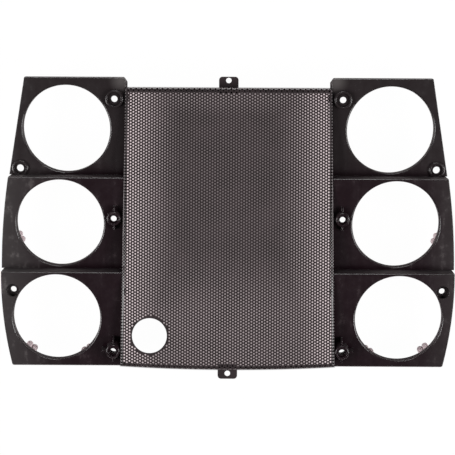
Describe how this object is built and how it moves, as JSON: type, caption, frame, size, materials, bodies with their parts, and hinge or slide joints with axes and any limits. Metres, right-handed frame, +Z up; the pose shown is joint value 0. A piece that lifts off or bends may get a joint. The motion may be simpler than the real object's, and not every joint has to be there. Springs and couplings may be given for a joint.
{
  "type": "vehicle front grille with lamp panels",
  "caption": "Leaning perforated steel grille sheet between two stepped black lamp panels, with round lamp openings, screw bosses and fixing lugs.",
  "frame": {"origin": "midway between the two middle screws, on their seats", "axes": "+X to the right as seen from the front, +Y backwards into the vehicle, +Z up; the front faces -Y"},
  "size_m": [0.5256, 0.0969, 0.345],
  "materials": {
    "coated_steel": "satin black powder coat",
    "moulded_plastic": "semi-gloss black, lightly scuffed",
    "rivet_steel": "plain steel"
  },
  "bodies": {
    "root": {"grille_sheet": "coated_steel", "top_lug": "coated_steel", "bottom_lug": "coated_steel", "left_lamp_panel": "moulded_plastic", "right_lamp_panel": "moulded_plastic", "panel_rivets": "rivet_steel"}
  },
  "joints": []
}
